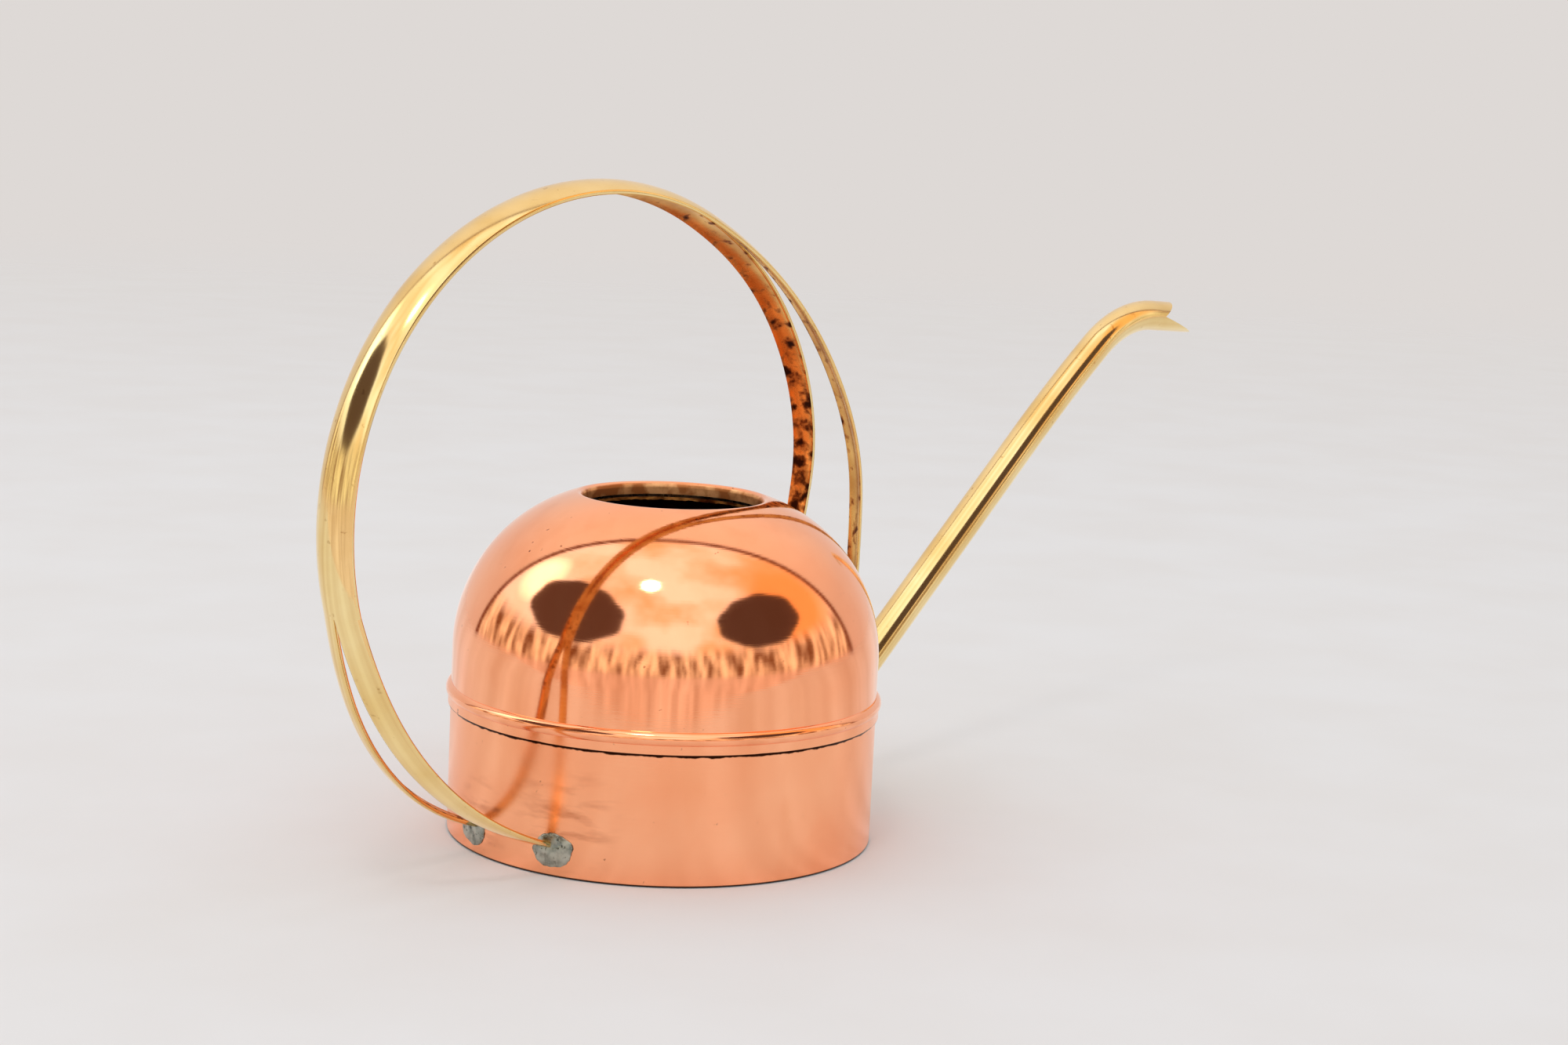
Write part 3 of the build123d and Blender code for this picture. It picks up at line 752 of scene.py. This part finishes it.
fill = add(tree, "ShaderNodeBackground", {"Color": linear("#FFFFFF"), "Strength": 0.84})
# Reflections see the painted room 1.5 times as bright as the fill light.
shiny = add(tree, "ShaderNodeBackground", {"Strength": 1.5}, {"Color": room})
lit = add(tree, "ShaderNodeMixShader", links={0: rays.outputs["Is Glossy Ray"], 1: fill.outputs[0],
                                             2: shiny.outputs[0]})
seen = add(tree, "ShaderNodeMixShader", links={0: rays.outputs["Is Camera Ray"], 1: lit.outputs[0],
                                              2: pale.outputs[0]})
add(tree, "ShaderNodeOutputWorld", links={0: seen.outputs[0]})


def lamp(name, bearing_deg, climb_deg, distance, size, watts):
    """A round soft lamp aimed at the can, at a bearing from +X and a height in degrees."""
    a, e = math.radians(bearing_deg), math.radians(climb_deg)
    out = Vector((math.cos(a) * math.cos(e), math.sin(a) * math.cos(e), math.sin(e)))
    data = bpy.data.lights.new(name, "AREA")
    data.shape = "DISK"
    data.size = size
    data.energy = watts
    light = bpy.data.objects.new(name, data)
    light.location = Vector((0, 0, 0.09)) + out * distance
    light.rotation_euler = out.to_track_quat("Z", "Y").to_euler()
    bpy.context.scene.collection.objects.link(light)
    return light


lamp("ceiling_lamp", -154, 60, 1.8, 0.26, 1.5)
window = lamp("window_light", 150, 68, 2.4, 3.2, 8)
window.visible_glossy = False

camera_data = bpy.data.cameras.new("camera")
camera_data.lens = 62.65
camera_data.sensor_width = 36
camera = bpy.data.objects.new("camera", camera_data)
bpy.context.scene.collection.objects.link(camera)
look = Vector((0.7558, 0.6368, -0.1523)).normalized()
level = Vector((0.6443, -0.7648, 0))
level = (level - look * level.dot(look)).normalized()
upright = level.cross(look)
roll = math.radians(2.839)
right = level * math.cos(roll) + upright * math.sin(roll)
top = upright * math.cos(roll) - level * math.sin(roll)
lens_place = Vector((-0.6972, -0.6388, 0.2579))
camera.matrix_world = Matrix((
    (right.x, top.x, -look.x, lens_place.x),
    (right.y, top.y, -look.y, lens_place.y),
    (right.z, top.z, -look.z, lens_place.z),
    (0, 0, 0, 1),
))
bpy.context.scene.camera = camera
bpy.context.scene.view_settings.view_transform = "Standard"
